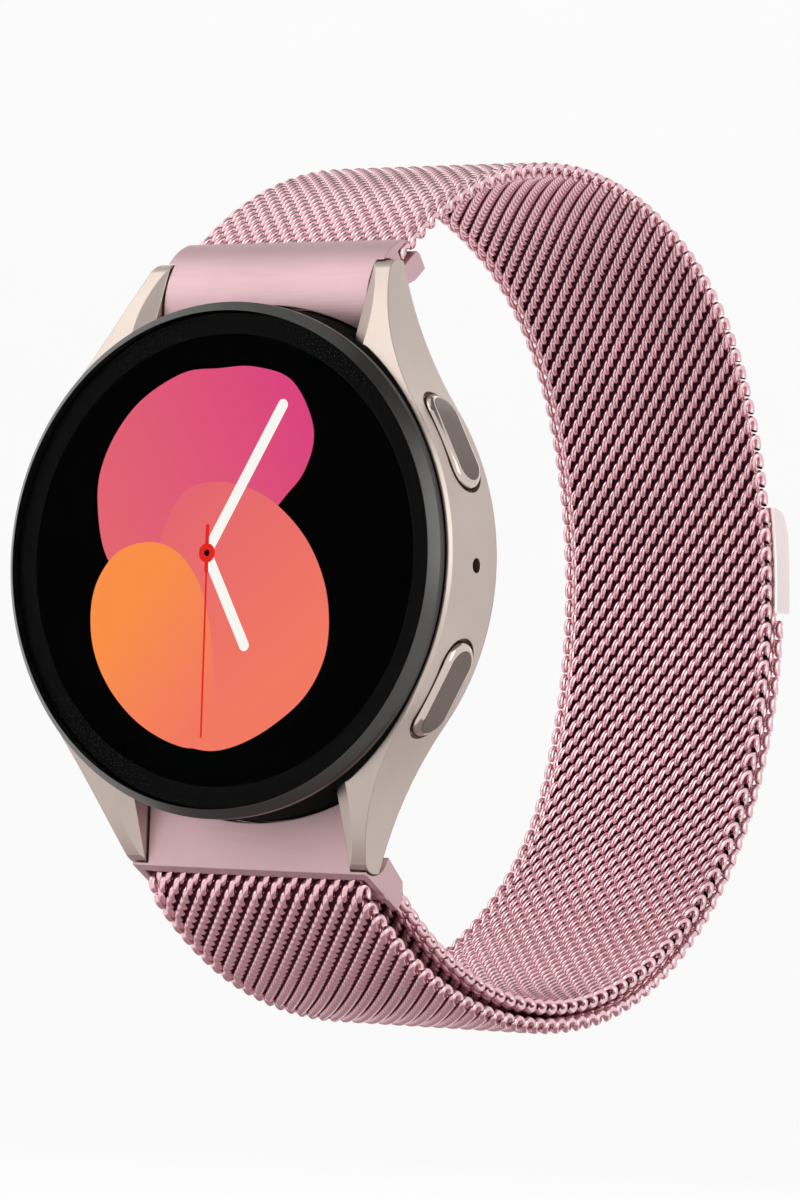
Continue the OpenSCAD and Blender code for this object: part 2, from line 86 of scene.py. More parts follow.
glass_low, glass_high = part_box("cover_glass")
ring_low, ring_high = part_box("bezel_ring")
panel_low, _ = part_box("display_panel")
band_low, band_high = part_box("band_mesh")

GLASS_R = glass_high.x
RING_R = ring_high.x
MESH_W = band_high.x - band_low.x


# ---------- materials ----------


def new_material(name):
    material = bpy.data.materials.new(name)
    material.use_nodes = True
    tree = material.node_tree
    tree.nodes.clear()
    output = tree.nodes.new("ShaderNodeOutputMaterial")
    shader = tree.nodes.new("ShaderNodeBsdfPrincipled")
    tree.links.new(shader.outputs["BSDF"], output.inputs["Surface"])
    return material, tree, shader


def add(tree, kind, **values):
    """A node with its named inputs or settings filled in."""
    node = tree.nodes.new("ShaderNode" + kind)
    for name, value in values.items():
        label = name.replace("_", " ")
        sockets = {socket.name.lower(): socket for socket in node.inputs}
        if label.lower() in sockets:
            sockets[label.lower()].default_value = value
        else:
            setattr(node, name, value)
    return node


def object_coords(tree, scale=(1, 1, 1)):
    """Object coordinates in millimetres, stretched by scale."""
    coords = add(tree, "TexCoord")
    mapping = add(tree, "Mapping")
    mapping.inputs["Scale"].default_value = [s / MM for s in scale]
    tree.links.new(coords.outputs["Object"], mapping.inputs["Vector"])
    return mapping.outputs["Vector"]


def ramp(tree, factor, stops):
    """A colour ramp. Each stop is (place, colour)."""
    node = add(tree, "ValToRGB")
    elements = node.color_ramp.elements
    while len(elements) < len(stops):
        elements.new(0.5)
    for element, (place, colour) in zip(elements, stops):
        element.position = place
        element.color = (*colour, 1)
    tree.links.new(factor, node.inputs["Fac"])
    return node.outputs["Color"]


def value_range(tree, factor, low, high):
    node = add(tree, "MapRange")
    node.inputs["To Min"].default_value = low
    node.inputs["To Max"].default_value = high
    tree.links.new(factor, node.inputs["Value"])
    return node.outputs["Result"]


def noise(tree, vector, scale, detail=3.0, roughness=0.55):
    node = add(tree, "TexNoise", scale=scale, detail=detail, roughness=roughness)
    tree.links.new(vector, node.inputs["Vector"])
    return node.outputs["Fac"]


def soft_edges(tree, radius):
    """The shading normal of an object whose edges are rounded by radius."""
    node = add(tree, "Bevel", samples=6)
    node.inputs["Radius"].default_value = radius
    return node.outputs["Normal"]


def bump(tree, height, strength, distance, normal=None):
    node = add(tree, "Bump")
    node.inputs["Strength"].default_value = strength
    node.inputs["Distance"].default_value = distance
    tree.links.new(height, node.inputs["Height"])
    if normal is not None:
        tree.links.new(normal, node.inputs["Normal"])
    return node.outputs["Normal"]


def tinted(tree, factor, colour, spread):
    """The colour, a little darker and lighter with the factor."""
    dark = tuple(c * (1 - spread) for c in colour)
    light = tuple(min(1, c * (1 + spread)) for c in colour)
    return ramp(tree, factor, [(0.3, dark), (0.7, light)])


def metal(name, colour, roughness, grain=(1, 1, 1), grain_scale=2.0, spread=0.04,
          bump_mm=0.002, edge_mm=0.0, anisotropy=0.0):
    """Worked metal: fine grain in colour, roughness and surface, with softened edges."""
    material, tree, shader = new_material(name)
    place = object_coords(tree, grain)
    fine = noise(tree, place, grain_scale, detail=6)
    broad = noise(tree, object_coords(tree), 0.12, detail=2)
    shader.inputs["Metallic"].default_value = 1.0
    shader.inputs["Anisotropic"].default_value = anisotropy
    tree.links.new(tinted(tree, broad, colour, spread), shader.inputs["Base Color"])
    tree.links.new(
        value_range(tree, fine, roughness * 0.82, roughness * 1.2), shader.inputs["Roughness"],
    )
    rounded = soft_edges(tree, edge_mm * MM) if edge_mm else None
    tree.links.new(bump(tree, fine, 0.5, bump_mm * MM, rounded), shader.inputs["Normal"])
    return material


def polymer(name, colour, roughness, grain_scale=6.0, bump_mm=0.01, specular=0.5):
    material, tree, shader = new_material(name)
    fine = noise(tree, object_coords(tree), grain_scale, detail=5)
    shader.inputs["Specular IOR Level"].default_value = specular
    tree.links.new(tinted(tree, fine, colour, 0.12), shader.inputs["Base Color"])
    tree.links.new(
        value_range(tree, fine, roughness * 0.85, roughness * 1.15), shader.inputs["Roughness"],
    )
    tree.links.new(bump(tree, fine, 0.4, bump_mm * MM), shader.inputs["Normal"])
    return material


def clear_glass():
    """Hard glass: fully clear, with a faint uneven film on its surface."""
    material, tree, shader = new_material("clear_glass")
    smear = noise(tree, object_coords(tree), 0.25, detail=4)
    shader.inputs["Transmission Weight"].default_value = 1.0
    shader.inputs["IOR"].default_value = 1.06
    shader.inputs["Base Color"].default_value = (1, 1, 1, 1)
    tree.links.new(value_range(tree, smear, 0.0, 0.03), shader.inputs["Roughness"])
    return material


def glow(name, first_colour, last_colour, first, last, strength=1.0):
    """Lit pixels whose colour runs from one (x, z) place on the dial to another."""
    material, tree, shader = new_material(name)
    way = Vector(last) - Vector(first)
    offset = add(tree, "VectorMath", operation="SUBTRACT")
    offset.inputs[1].default_value = (first[0], 0, first[1])
    tree.links.new(object_coords(tree), offset.inputs[0])
    along = add(tree, "VectorMath", operation="DOT_PRODUCT")
    along.inputs[1].default_value = (way.x / way.length_squared, 0, way.y / way.length_squared)
    tree.links.new(offset.outputs["Vector"], along.inputs[0])
    colour = ramp(tree, along.outputs["Value"], [(0.0, first_colour), (1.0, last_colour)])
    shader.inputs["Base Color"].default_value = (0.005, 0.005, 0.005, 1)
    shader.inputs["Specular IOR Level"].default_value = 0.0
    shader.inputs["Roughness"].default_value = 0.6
    shader.inputs["Emission Strength"].default_value = strength
    tree.links.new(colour, shader.inputs["Emission Color"])
    return material


def circuit_board(name, track, mask):
    """Solder mask over copper tracks, in the colours given for each."""
    material, tree, shader = new_material(name)
    place = object_coords(tree)
    tracks = add(tree, "TexVoronoi", feature="DISTANCE_TO_EDGE", scale=0.9)
    tree.links.new(place, tracks.inputs["Vector"])
    colour = ramp(tree, tracks.outputs["Distance"], [(0.02, track), (0.06, mask)])
    shader.inputs["Roughness"].default_value = 0.35
    tree.links.new(colour, shader.inputs["Base Color"])
    tree.links.new(bump(tree, tracks.outputs["Distance"], 0.3, 0.02 * MM), shader.inputs["Normal"])
    return material


def wound_copper():
    """Turns of enamelled wire, as rings about the dial axis."""
    material, tree, shader = new_material("wound_copper")
    rings = add(tree, "TexWave", wave_type="RINGS", rings_direction="Y", scale=1.6, distortion=0.0)
    tree.links.new(object_coords(tree), rings.inputs["Vector"])
    # The rings are painted shade in the grooves between turns and painted highlight on their
    # crests.
    colour = ramp(
        tree, rings.outputs["Fac"], [(0.1, (0.22, 0.07, 0.03)), (0.7, (0.72, 0.33, 0.16))],
    )
    shader.inputs["Metallic"].default_value = 1.0
    shader.inputs["Roughness"].default_value = 0.3
    tree.links.new(colour, shader.inputs["Base Color"])
    tree.links.new(bump(tree, rings.outputs["Fac"], 0.6, 0.1 * MM), shader.inputs["Normal"])
    return material


CHAMPAGNE = (0.53, 0.445, 0.40)
PINK = (0.60, 0.41, 0.435)
WIRE_PINK = (0.84, 0.53, 0.575)
# Painted shade: the dark wine of the ribbon inside the mesh stands for the shade between its
# wires.
SHADE_WINE = (0.045, 0.008, 0.016)
CARD_ROSE = (0.42, 0.34, 0.355)

MATERIALS = {
    "case_metal": metal("case_metal", CHAMPAGNE, 0.34, grain=(3, 1, 1), edge_mm=0.12),
    "button_metal": metal("button_metal", (0.14, 0.105, 0.09), 0.28, edge_mm=0.3),
    "ring_metal": metal("ring_metal", (0.082, 0.079, 0.076), 0.32, spread=0.08),
    "pink_metal": metal("pink_metal", PINK, 0.5, grain=(0.15, 4, 4), edge_mm=0.15),
    "tab_metal": metal("tab_metal", (0.86, 0.74, 0.75), 0.16, grain=(0.1, 4, 4)),
    "pink_mesh": metal("pink_mesh", WIRE_PINK, 0.24, grain_scale=1.2, spread=0.06),
    "plain_steel": metal("plain_steel", (0.55, 0.54, 0.53), 0.3, grain=(0.2, 3, 3)),
    "magnet": metal("magnet", (0.5, 0.5, 0.52), 0.25),
    "black_polymer": polymer("black_polymer", (0.003, 0.003, 0.003), 0.8, specular=0.02),
    "rear_polymer": polymer("rear_polymer", (0.018, 0.018, 0.02), 0.18, bump_mm=0.002),
    "seal_rubber": polymer("seal_rubber", (0.015, 0.015, 0.015), 0.7),
    "display": polymer("display", (0.001, 0.001, 0.001), 0.25, specular=0.04),
    "battery_skin": polymer("battery_skin", (0.09, 0.09, 0.095), 0.4),
    "cover_glass": clear_glass(),
    "board": circuit_board("circuit_board", (0.10, 0.26, 0.07), (0.01, 0.09, 0.03)),
    "copper": wound_copper(),
}
# The ribbon inside the mesh is painted shade in this dark wine.
painted_shade_core = polymer("painted_shade_core", SHADE_WINE, 0.6, specular=0.2)


def dress(obj, slot):
    obj.data.materials.clear()
    obj.data.materials.append(MATERIALS[slot])


for entry in frame["record"]["subparts"]:
    dress(nodes[entry["node"]], entry["material_slot"])
dark_mask = circuit_board("sensor_board_mask", (0.02, 0.02, 0.02), (0.008, 0.008, 0.01))
nodes["sensor_board"].data.materials[0] = dark_mask

# ---------- mesh building ----------


def mesh_object(name, points, faces, material, body, smooth=True):
    mesh = bpy.data.meshes.new(name)
    mesh.from_pydata(points, [], faces)
    mesh.validate()
    mesh.update()
    obj = bpy.data.objects.new(name, mesh)
    bpy.context.scene.collection.objects.link(obj)
    obj.data.materials.append(material)
    if smooth:
        for polygon in mesh.polygons:
            polygon.use_smooth = True
    if body:
        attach(obj, body)
    return obj


def edges_by_angle(obj, angle=math.radians(35)):
    """Smooth shading that breaks at edges sharper than the angle."""
    mesh = bmesh.new()
    mesh.from_mesh(obj.data)
    bmesh.ops.recalc_face_normals(mesh, faces=mesh.faces)
    for edge in mesh.edges:
        edge.smooth = len(edge.link_faces) == 2 and edge.calc_face_angle(0) < angle
    mesh.to_mesh(obj.data)
    mesh.free()


def lathe(name, profile, material, body, steps=256):
    """A closed (radius, y) outline turned about the dial axis. Points on the axis are shared."""
    points = []
    faces = []
    rows = []
    for radius, y in profile:
        if radius < 1e-9:
            rows.append([len(points)] * steps)
            points.append((0, y, 0))
            continue
        rows.append(list(range(len(points), len(points) + steps)))
        for k in range(steps):
            angle = TURN * k / steps
            points.append((radius * math.cos(angle), y, radius * math.sin(angle)))
    for low, high in zip(rows, rows[1:] + rows[:1]):
        for k in range(steps):
            face = [low[k], low[(k + 1) % steps], high[(k + 1) % steps], high[k]]
            unique = list(dict.fromkeys(face))
            if len(unique) > 2:
                faces.append(unique)
    turned = mesh_object(name, points, faces, material, body)
    edges_by_angle(turned)
    return turned


def rounded(profile, radius, steps=5):
    """A closed outline with every corner replaced by an arc that starts radius away."""
    result = []
    count = len(profile)
    for i, (u, v) in enumerate(profile):
        here = Vector((u, v))
        before = Vector(profile[i - 1])
        after = Vector(profile[(i + 1) % count])
        if u < 1e-9:
            result.append((u, v))
            continue
        reach_in = min(radius, (before - here).length * 0.45)
        reach_out = min(radius, (after - here).length * 0.45)
        start = here + (before - here).normalized() * reach_in
        end = here + (after - here).normalized() * reach_out
        for k in range(steps + 1):
            t = k / steps
            point = start * (1 - t) ** 2 + here * 2 * t * (1 - t) + end * t * t
            result.append((point.x, point.y))
    return result


# ---------- glass, ring and dial ----------

GLASS_Y = glass_low.y
GLASS_BACK_Y = glass_high.y
EDGE_BEVEL = 0.12 * MM
glass_profile = [
    (0, GLASS_Y),
    (GLASS_R - EDGE_BEVEL, GLASS_Y),
    (GLASS_R, GLASS_Y + EDGE_BEVEL),
    (GLASS_R, GLASS_BACK_Y),
    (0, GLASS_BACK_Y),
]
glass = lathe("watch_glass", glass_profile, MATERIALS["cover_glass"], "watch")
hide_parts("cover_glass")

INK_R = 18.3 * MM
INK_T = 0.01 * MM
ink_profile = [
    (INK_R, GLASS_BACK_Y - INK_T),
    (GLASS_R - EDGE_BEVEL, GLASS_BACK_Y - INK_T),
    (GLASS_R - EDGE_BEVEL, GLASS_BACK_Y),
    (INK_R, GLASS_BACK_Y),
]
ink = lathe("glass_ink_border", ink_profile, MATERIALS["display"], "watch")

RING_GAP = 0.03 * MM
RING_SLOPE = 0.75 * MM
RING_EDGE = 0.12 * MM
LEDGE_WIDTH = 0.8 * MM
LEDGE_GAP = 0.1 * MM
ring_profile = [
    (GLASS_R + RING_GAP, ring_low.y),
    (RING_R - RING_SLOPE, ring_low.y),
    (RING_R, ring_low.y + RING_SLOPE),
    (RING_R, ring_high.y),
    (GLASS_R - LEDGE_WIDTH, ring_high.y),
    (GLASS_R - LEDGE_WIDTH, GLASS_BACK_Y + LEDGE_GAP),
    (GLASS_R + RING_GAP, GLASS_BACK_Y + LEDGE_GAP),
]
ring = lathe("bevel_ring", rounded(ring_profile, RING_EDGE), MATERIALS["ring_metal"], "watch")
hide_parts("bezel_ring")


def smooth_outline(corners, steps=12):
    """A closed curve that passes through every corner (Catmull-Rom)."""
    count = len(corners)
    result = []
    for i in range(count):
        before, start, end, after = (Vector(corners[(i + k) % count]) for k in (-1, 0, 1, 2))
        for k in range(steps):
            t = k / steps
            result.append(0.5 * (
                2 * start + (end - before) * t
                + (2 * before - 5 * start + 4 * end - after) * t ** 2
                + (3 * start - before - 3 * end + after) * t ** 3
            ))
    return result


def flat_shape(name, outline, material, depth):
    """A filled X-Z outline in millimetres, lying depth in front of the display panel."""
    y = panel_low.y - depth
    points = [(p[0] * MM, y, p[1] * MM) for p in outline]
    shape = mesh_object(name, points, [list(range(len(points)))], material, "watch", smooth=False)
    return shape


def hand_outline(root, tip, width, steps=10):
    """A bar with round ends from root to tip."""
    root, tip = Vector(root), Vector(tip)
    heading = math.atan2(tip.y - root.y, tip.x - root.x)
    result = []
    for centre, start in ((tip, heading - math.pi / 2), (root, heading + math.pi / 2)):
        for k in range(steps + 1):
            angle = start + math.pi * k / steps
            result.append(centre + Vector((math.cos(angle), math.sin(angle))) * width / 2)
    return result


def circle_outline(centre, radius, steps=40):
    return [
        (
            centre[0] + radius * math.cos(TURN * k / steps),
            centre[1] + radius * math.sin(TURN * k / steps),
        )
        for k in range(steps)
    ]


# The dial picture lies a little left of the glass's centre. Places are (x, z) in millimetres.
PIVOT = (-1.35, 0.55)
top_petal = [
    (-12.4, 4.6), (-11.7, 8.7), (-8.9, 12.6), (-4.6, 15.1), (-1.0, 15.5), (2.5, 15.6), (6.2, 14.4),
    (8.4, 10.6), (7.7, 7.2), (5.3, 4.4), (1.0, -1.0), (-5.0, -3.0), (-10.7, -0.6),
]
right_petal = [
    (-4.0, 5.4), (-1.0, 6.3), (2.1, 5.9), (5.3, 4.4), (8.4, 1.4), (10.3, -2.6), (10.5, -7.0),
    (8.8, -10.6), (5.7, -13.2), (2.3, -14.9), (-0.8, -15.4), (-3.7, -14.4), (-5.8, -11.0),
    (-6.6, -5.0), (-6.0, 1.5),
]
left_petal = [
    (-12.0, -1.7), (-12.6, -4.4), (-12.1, -7.6), (-10.4, -10.6), (-7.6, -13.2), (-4.2, -14.85),
    (-1.5, -15.1), (-0.3, -13.0), (-0.3, -8.5), (-1.0, -4.6), (-2.2, -1.6), (-4.3, 0.6),
    (-7.0, 1.4), (-10.1, 0.6),
]

MAGENTA = (0.70, 0.055, 0.20)
ROSE = (0.76, 0.125, 0.16)
CORAL = (0.88, 0.185, 0.115)
ORANGE = (0.94, 0.27, 0.06)
WHITE = (0.93, 0.92, 0.88)
RED = (0.75, 0.015, 0.01)

petal_top = glow("petal_top", ROSE, MAGENTA, (-11, 2), (7, 12))
petal_right = glow("petal_right", ROSE, CORAL, (-5, 6), (6, -9))
petal_left = glow("petal_left", ORANGE, CORAL, (-7, -2), (1.5, -9))
hand_white = glow("hand_white", WHITE, WHITE, (0, 0), (0, 1))
hand_red = glow("hand_red", RED, RED, (0, 0), (0, 1))

LAYER = 0.012 * MM
HAND_WIDTH = 0.95
flat_shape("dial_petal_top", smooth_outline(top_petal), petal_top, LAYER)
flat_shape("dial_petal_right", smooth_outline(right_petal), petal_right, 2 * LAYER)
flat_shape("dial_petal_left", smooth_outline(left_petal), petal_left, 3 * LAYER)
flat_shape(
    "dial_hour_hand", hand_outline((-1.1, 0.0), (2.6, -6.85), HAND_WIDTH), hand_white, 4 * LAYER,
)
flat_shape(
    "dial_minute_hand", hand_outline((-1.1, 1.1), (5.4, 12.5), HAND_WIDTH), hand_white, 4 * LAYER,
)
flat_shape("dial_second_hand", hand_outline(PIVOT, (-1.2, -14.3), 0.18), hand_red, 5 * LAYER)
flat_shape("dial_second_tail", hand_outline((-1.4, 2.7), (-1.35, -0.9), 0.36), hand_red, 5 * LAYER)
flat_shape("dial_pivot", circle_outline(PIVOT, 0.78), hand_red, 6 * LAYER)
flat_shape("dial_pivot_hole", circle_outline(PIVOT, 0.27), MATERIALS["display"], 7 * LAYER)

# ---------- path of the mesh band ----------

MESH_T = 1.5 * MM
BAND_START = (-0.2 * MM, 26 * MM, math.radians(39))
SOCKET = 1.3 * MM
TAB_CLEAR = 0.2 * MM
TAB_T = 2.65 * MM
TAB_FROM = math.radians(1.4)
TAB_TO = math.radians(14.6)
TAB_NOSE = math.radians(4.2)
TAIL_IN_TAB = 0.4 * MM
TAIL_STEP = 0.05 * MM


def arc(radius_mm, sweep_deg):
    """A piece of path that turns right, or left if both numbers are negative."""
    return (radius_mm * MM, math.radians(sweep_deg))


def straight(length_mm):
    return (0.0, length_mm * MM)


INNER_ARCS = [arc(42, 66), arc(30, 35), arc(41, 50), arc(25, 26), arc(38.5, 84.5), straight(1.4)]
FOLD = arc(-1.9, -183.5)
OUTER_FIRST = arc(-42, -22)
OUTER_SECOND_SWEEP = math.radians(24)
TAB_ARC = 2


def arc_length(piece):
    radius, sweep = piece
    return sweep if radius == 0 else abs(radius * sweep)


def advance(pose, piece, share=1.0):
    """The pose (y, z, heading) after part of a path piece."""
    y, z, heading = pose
    radius, sweep = piece
    sweep *= share
    if radius == 0:
        return (y + sweep * math.cos(heading), z + sweep * math.sin(heading), heading)
    new = heading - sweep
    return (
        y + radius * (math.sin(heading) - math.sin(new)),
        z + radius * (math.cos(new) - math.cos(heading)),
        new,
    )


def beside(pose, off):
    """The point off to the left of a pose."""
    y, z, heading = pose
    return Vector((y - off * math.sin(heading), z + off * math.cos(heading)))


def left_turn(heading, sweep):
    return Vector((
        math.sin(heading + sweep) - math.sin(heading),
        math.cos(heading) - math.cos(heading + sweep),
    ))


inner_poses = [BAND_START]
for piece in INNER_ARCS:
    inner_poses.append(advance(inner_poses[-1], piece))
fold_start = inner_poses[-1]
fold_end = advance(fold_start, FOLD)

# The outer layer ends square on the tab: two of its radii follow from that.
tab_band_r = INNER_ARCS[TAB_ARC][0]
tab_centre = beside(inner_poses[TAB_ARC], -tab_band_r)
tab_inner_r = tab_band_r + MESH_T / 2 + TAB_CLEAR
tab_outer_r = tab_inner_r + TAB_T
tail_r = tab_outer_r - TAIL_STEP - MESH_T / 2
tail_end = tab_centre + tail_r * Vector((math.cos(TAB_FROM), math.sin(TAB_FROM)))
second_start = advance(fold_end, OUTER_FIRST)
third_heading = second_start[2] + OUTER_SECOND_SWEEP
third_sweep = TAB_FROM + math.pi / 2 - third_heading
second_way = left_turn(second_start[2], OUTER_SECOND_SWEEP)
third_way = left_turn(third_heading, third_sweep)
way_left = tail_end - Vector(second_start[:2])
turning = second_way.cross(third_way)
second_r = way_left.cross(third_way) / turning
third_r = second_way.cross(way_left) / turning
SECOND = (-second_r, -OUTER_SECOND_SWEEP)
THIRD = (-third_r, -third_sweep)
BAND = [
    straight(SOCKET / MM), *INNER_ARCS, FOLD, OUTER_FIRST, SECOND, THIRD,
    straight(TAIL_IN_TAB / MM),
]

socket_pose = advance(BAND_START, (0.0, -SOCKET))
stops = [(0.0, socket_pose)]
for piece in BAND:
    stops.append((stops[-1][0] + arc_length(piece), advance(stops[-1][1], piece)))
BAND_LENGTH = stops[-1][0]
FOLD_AT = stops[len(INNER_ARCS) + 1][0]


def pose_at(distance):
    """The pose at a distance along the band, from inside the upper end piece."""
    for (start, pose), piece in zip(stops, BAND):
        length = arc_length(piece)
        if distance <= start + length:
            return advance(pose, piece, max(0.0, distance - start) / length)
    return stops[-1][1]


def distance_of(y, z, low, high, steps=4000):
    """The distance along the band, between low and high, that is nearest to a Y-Z place."""
    tries = [low + (high - low) * k / steps for k in range(steps + 1)]
    return min(tries, key=lambda d: (pose_at(d)[0] - y) ** 2 + (pose_at(d)[1] - z) ** 2)


# ---------- woven mesh ----------

WIRE_R = 0.30 * MM
COIL_SINK = 0.02 * MM
COIL_HALF_T = MESH_T / 2 - WIRE_R - COIL_SINK
COIL_HALF_L = 0.64 * MM
COIL_REACH = COIL_HALF_L + WIRE_R
WANTED_PITCH = 0.86 * MM
ROWS = 1 + round((BAND_LENGTH - 2 * COIL_REACH) / WANTED_PITCH)
ROW_PITCH = (BAND_LENGTH - 2 * COIL_REACH) / (ROWS - 1)
TURNS_ACROSS = 15
COIL_PITCH = (MESH_W - 2 * WIRE_R) / TURNS_ACROSS
STEPS_PER_TURN = 14
END_CURL = 0.45
STEEPNESS = 0.3
WIRE_SIDES = 6


def tube_mesh(name, centres, outward, radius, sides, material):
    """Round wires through rows of centres. outward gives each centre's first ring direction."""
    rows, samples, _ = centres.shape
    along = np.gradient(centres, axis=1)
    along /= np.linalg.norm(along, axis=2, keepdims=True)
    first = outward - (outward * along).sum(axis=2, keepdims=True) * along
    first /= np.linalg.norm(first, axis=2, keepdims=True)
    second = np.cross(along, first)
    angles = np.arange(sides) * TURN / sides
    ring = (
        first[:, :, None, :] * np.cos(angles)[None, None, :, None]
        + second[:, :, None, :] * np.sin(angles)[None, None, :, None]
    )
    points = (centres[:, :, None, :] + radius * ring).reshape(-1, 3)
    index = np.arange(rows * samples * sides).reshape(rows, samples, sides)
    here = index[:, :-1, :]
    ahead = index[:, 1:, :]
    quads = np.stack(
        [here, np.roll(here, -1, 2), np.roll(ahead, -1, 2), ahead], axis=-1,
    ).reshape(-1, 4)
    mesh = bpy.data.meshes.new(name)
    mesh.vertices.add(len(points))
    mesh.vertices.foreach_set("co", points.astype(np.float32).ravel())
    mesh.loops.add(quads.size)
    mesh.loops.foreach_set("vertex_index", quads.astype(np.int32).ravel())
    mesh.polygons.add(len(quads))
    mesh.polygons.foreach_set("loop_start", np.arange(0, quads.size, 4, dtype=np.int32))
    mesh.polygons.foreach_set("use_smooth", np.ones(len(quads), dtype=bool))
    mesh.update(calc_edges=True)
    mesh.materials.append(material)
    obj = bpy.data.objects.new(name, mesh)
    bpy.context.scene.collection.objects.link(obj)
    return obj


def row_distance(row):
    return COIL_REACH + row * ROW_PITCH


def first_row_after(distance):
    return max(0, math.ceil((distance - COIL_REACH) / ROW_PITCH))


def woven_strip(name, start, end):
    """Interlinked coils laid across the band, one to a row. Every second row is a turn shorter."""
    rows = range(first_row_after(start), min(ROWS, first_row_after(end)))
    samples = TURNS_ACROSS * STEPS_PER_TURN + 1
    centres = np.zeros((len(rows), samples, 3))
    outward = np.zeros((len(rows), samples, 3))
    for number, row in enumerate(rows):
        y, z, heading = pose_at(row_distance(row))
        turns = TURNS_ACROSS - row % 2
        turn = np.linspace(-END_CURL, turns + END_CURL, samples)
        advance_turns = np.clip(turn, 0, turns)
        steeper = STEEPNESS * np.sin(2 * TURN * advance_turns) / (2 * TURN)
        across = (advance_turns + steeper - turns / 2) * COIL_PITCH
        along = -np.cos(TURN * turn) * COIL_HALF_L
        depth = np.sin(TURN * turn) * COIL_HALF_T
        centres[number, :, 0] = across
        centres[number, :, 1] = y + along * math.cos(heading) - depth * math.sin(heading)
        centres[number, :, 2] = z + along * math.sin(heading) + depth * math.cos(heading)
        outward[number, :, 1] = along * math.cos(heading) - depth * math.sin(heading)
        outward[number, :, 2] = along * math.sin(heading) + depth * math.cos(heading)
    strip = tube_mesh(name, centres, outward, WIRE_R, WIRE_SIDES, MATERIALS["pink_mesh"])
    return strip


SHADE_STRIP_T = 0.08 * MM
SHADE_STRIP_MARGIN = 0.95 * MM
SHADE_STRIP_STEP = 1.2 * MM


def shade_strip(name, start, end):
    """A thin dark ribbon at mid-thickness of the mesh that no light gets through; its dark wine
    colour is painted shade between the wires.
    """
    count = max(2, round((end - start) / SHADE_STRIP_STEP))
    half = MESH_W / 2 - SHADE_STRIP_MARGIN
    points = []
    for k in range(count + 1):
        pose = pose_at(start + (end - start) * k / count)
        for x, off in (
            (-half, SHADE_STRIP_T / 2), (half, SHADE_STRIP_T / 2), (half, -SHADE_STRIP_T / 2), (-half, -SHADE_STRIP_T / 2),
        ):
            y, z = beside(pose, off)
            points.append((x, y, z))
    faces = [[0, 1, 2, 3], [4 * count + k for k in (3, 2, 1, 0)]]
    for k in range(count):
        for side in range(4):
            nearer, further = 4 * k + side, 4 * k + (side + 1) % 4
            faces.append([further, nearer, nearer + 4, further + 4])
    strip = mesh_object(name, points, faces, painted_shade_core, None, smooth=False)
    return strip


def hinge_blend(piece, joint):
    """Bakes the piece's place into its mesh; the joint's distance and heading along the band are
    found but not used, and the piece is not bent.
    """
    place = Vector(joints[joint]["pos_m"])
    at = distance_of(place.y, place.z, FOLD_AT, BAND_LENGTH)
    heading = pose_at(at)[2]
    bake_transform(piece)


low_hinge = joints["tail_peel_low"]
high_hinge = joints["tail_peel_high"]
low_at = distance_of(low_hinge["pos_m"][1], low_hinge["pos_m"][2], FOLD_AT, BAND_LENGTH)
high_at = distance_of(high_hinge["pos_m"][1], high_hinge["pos_m"][2], FOLD_AT, BAND_LENGTH)
tail_middle = (low_at + high_at) / 2

third = FOLD_AT / 3
for number in range(3):
    start, end = third * number, third * (number + 1)
    weave = woven_strip(f"band_weave_{number + 1}", start, end)
    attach(weave, "watch")
    if number == 0:
        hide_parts("band_mesh")
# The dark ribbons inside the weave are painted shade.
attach(shade_strip("band_shade_strip", 0.0, FOLD_AT), "watch")

fold_middle = (FOLD_AT + tail_middle) / 2
fold_weave = woven_strip("fold_weave_1", FOLD_AT, fold_middle)
fold_weave_rest = woven_strip("fold_weave_2", fold_middle, tail_middle)
# The dark ribbons of the fold and tail are painted shade as well.
fold_shade_strip = shade_strip("fold_shade_strip", FOLD_AT, tail_middle)
tail_weave = woven_strip("tail_weave", tail_middle, BAND_LENGTH)
tail_shade_strip = shade_strip("tail_shade_strip", tail_middle, BAND_LENGTH)
for piece in (fold_weave, fold_weave_rest, fold_shade_strip):
    hinge_blend(piece, "tail_peel_low")
for piece in (tail_weave, tail_shade_strip):
    hinge_blend(piece, "tail_peel_high")
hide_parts("foldback_mesh", "tail_mesh_lower")
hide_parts("tail_mesh_upper")

# ---------- lips behind the end pieces ----------

LIP_HALF_W = 9.6 * MM
LIP_DEPTH = 0.9 * MM
LIP_FRONT_Y = -1.2 * MM
LIP_BACK_Y = -0.9 * MM
LIP_ROOT = 0.1 * MM


def case_lip(name, side, steps=24):
    """A black lip on the case wall between two lugs, which closes the gap behind the end piece."""
    reach = math.asin(LIP_HALF_W / RING_R)
    points = []
    for k in range(steps + 1):
        angle = side * math.pi / 2 + reach * (2 * k / steps - 1)
        for radius in (RING_R - LIP_ROOT, RING_R + LIP_DEPTH):
            for y in (LIP_FRONT_Y, LIP_BACK_Y):
                points.append((radius * math.cos(angle), y, radius * math.sin(angle)))
    faces = [[0, 1, 3, 2], [4 * steps + k for k in (2, 3, 1, 0)]]
    for k in range(steps):
        for here, after in ((0, 1), (1, 3), (3, 2), (2, 0)):
            faces.append([4 * k + after, 4 * k + here, 4 * k + here + 4, 4 * k + after + 4])
    lip = mesh_object(name, points, faces, MATERIALS["black_polymer"], "watch", smooth=False)


case_lip("upper_case_lip", 1)
case_lip("lower_case_lip", -1)

# ---------- magnetic tab ----------

TAB_LIP = 0.35 * MM
TAB_EDGE = 0.3 * MM
# Depth below the outer face within which the tab is painted dark as shade.
TAB_SHADE_DEPTH = 0.25 * MM


